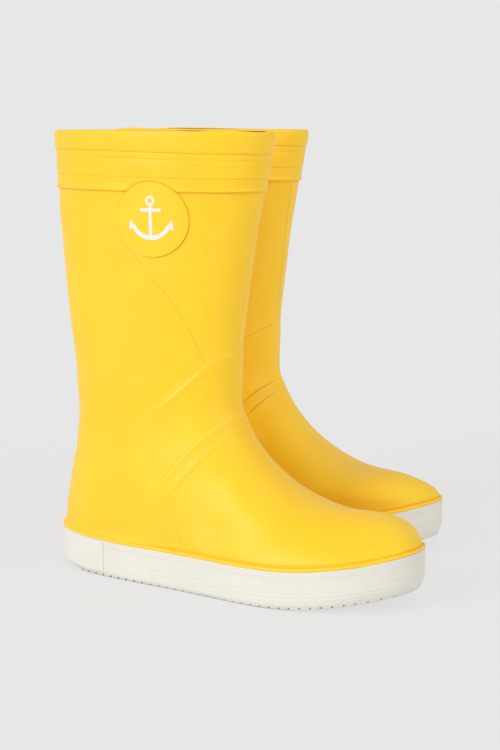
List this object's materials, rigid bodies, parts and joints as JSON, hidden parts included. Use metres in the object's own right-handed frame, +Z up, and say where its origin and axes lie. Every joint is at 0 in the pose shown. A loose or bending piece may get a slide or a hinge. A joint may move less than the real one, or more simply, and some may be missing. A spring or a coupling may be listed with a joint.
{
  "type": "pair of rubber deck boots",
  "caption": "Mid-calf pair of waterproof rubber deck boots with a laid-up yellow upper, banded collar, textile lining, removable footbeds and a thick ribbed white sole.",
  "frame": {"origin": "on the floor, at the middle of the pair's footprint box, between the two boots", "axes": "+Z up, -Y towards the toes, +X towards the wearer's left; the right boot is at -X and half a step ahead of the left"},
  "size_m": [0.2688, 0.3582, 0.3312],
  "materials": {
    "yellow_rubber": "satin natural rubber with a soft bloom",
    "yellow_collar": "satin natural rubber, slightly glossier at the edges",
    "yellow_welt": "satin rubber bead",
    "white_sidewall": "matte off-white rubber",
    "tread": "matte off-white rubber, siped",
    "filler": "matte sponge rubber",
    "board": "matte fibreboard",
    "footbed": "knit-covered foam",
    "lining": "brushed knit",
    "white_print": "satin moulded rubber"
  },
  "bodies": {
    "right_boot": {"right_outsole": "tread", "right_midsole_filler": "filler", "right_foxing_band": "white_sidewall", "right_heel_patch": "white_sidewall", "right_welt_bead": "yellow_welt", "right_insole_board": "board", "right_upper": "yellow_rubber", "right_lining": "lining", "right_heel_counter": "yellow_rubber", "right_vamp_reinforcement": "yellow_rubber", "right_ankle_reinforcement": "yellow_rubber", "right_rear_stay": "yellow_rubber", "right_collar_top_band": "yellow_collar", "right_collar_middle_band": "yellow_collar", "right_collar_lower_band": "yellow_collar", "right_medallion": "yellow_collar", "right_medallion_mark": "white_print"},
    "left_boot": {"left_outsole": "tread", "left_midsole_filler": "filler", "left_foxing_band": "white_sidewall", "left_heel_patch": "white_sidewall", "left_welt_bead": "yellow_welt", "left_insole_board": "board", "left_upper": "yellow_rubber", "left_lining": "lining", "left_heel_counter": "yellow_rubber", "left_vamp_reinforcement": "yellow_rubber", "left_ankle_reinforcement": "yellow_rubber", "left_rear_stay": "yellow_rubber", "left_collar_top_band": "yellow_collar", "left_collar_middle_band": "yellow_collar", "left_collar_lower_band": "yellow_collar", "left_medallion": "yellow_collar", "left_medallion_mark": "white_print"},
    "right_footbed": {"right_footbed": "footbed"},
    "left_footbed": {"left_footbed": "footbed"}
  },
  "joints": [
    {"name": "left_boot_step", "type": "slide", "parent": "right_boot", "child": "left_boot", "axis": [0, -1, 0], "range_m": [-0.06, 0.14]},
    {"name": "right_footbed_lift", "type": "hinge", "parent": "right_boot", "child": "right_footbed", "pos_m": [-0.07981, -0.16416, 0.03119], "axis": [1, 0, 0], "range_deg": [0, 5]},
    {"name": "left_footbed_lift", "type": "hinge", "parent": "left_boot", "child": "left_footbed", "pos_m": [0.07755, -0.10972, 0.03119], "axis": [0.9997, -0.0253, 0], "range_deg": [0, 5]}
  ]
}
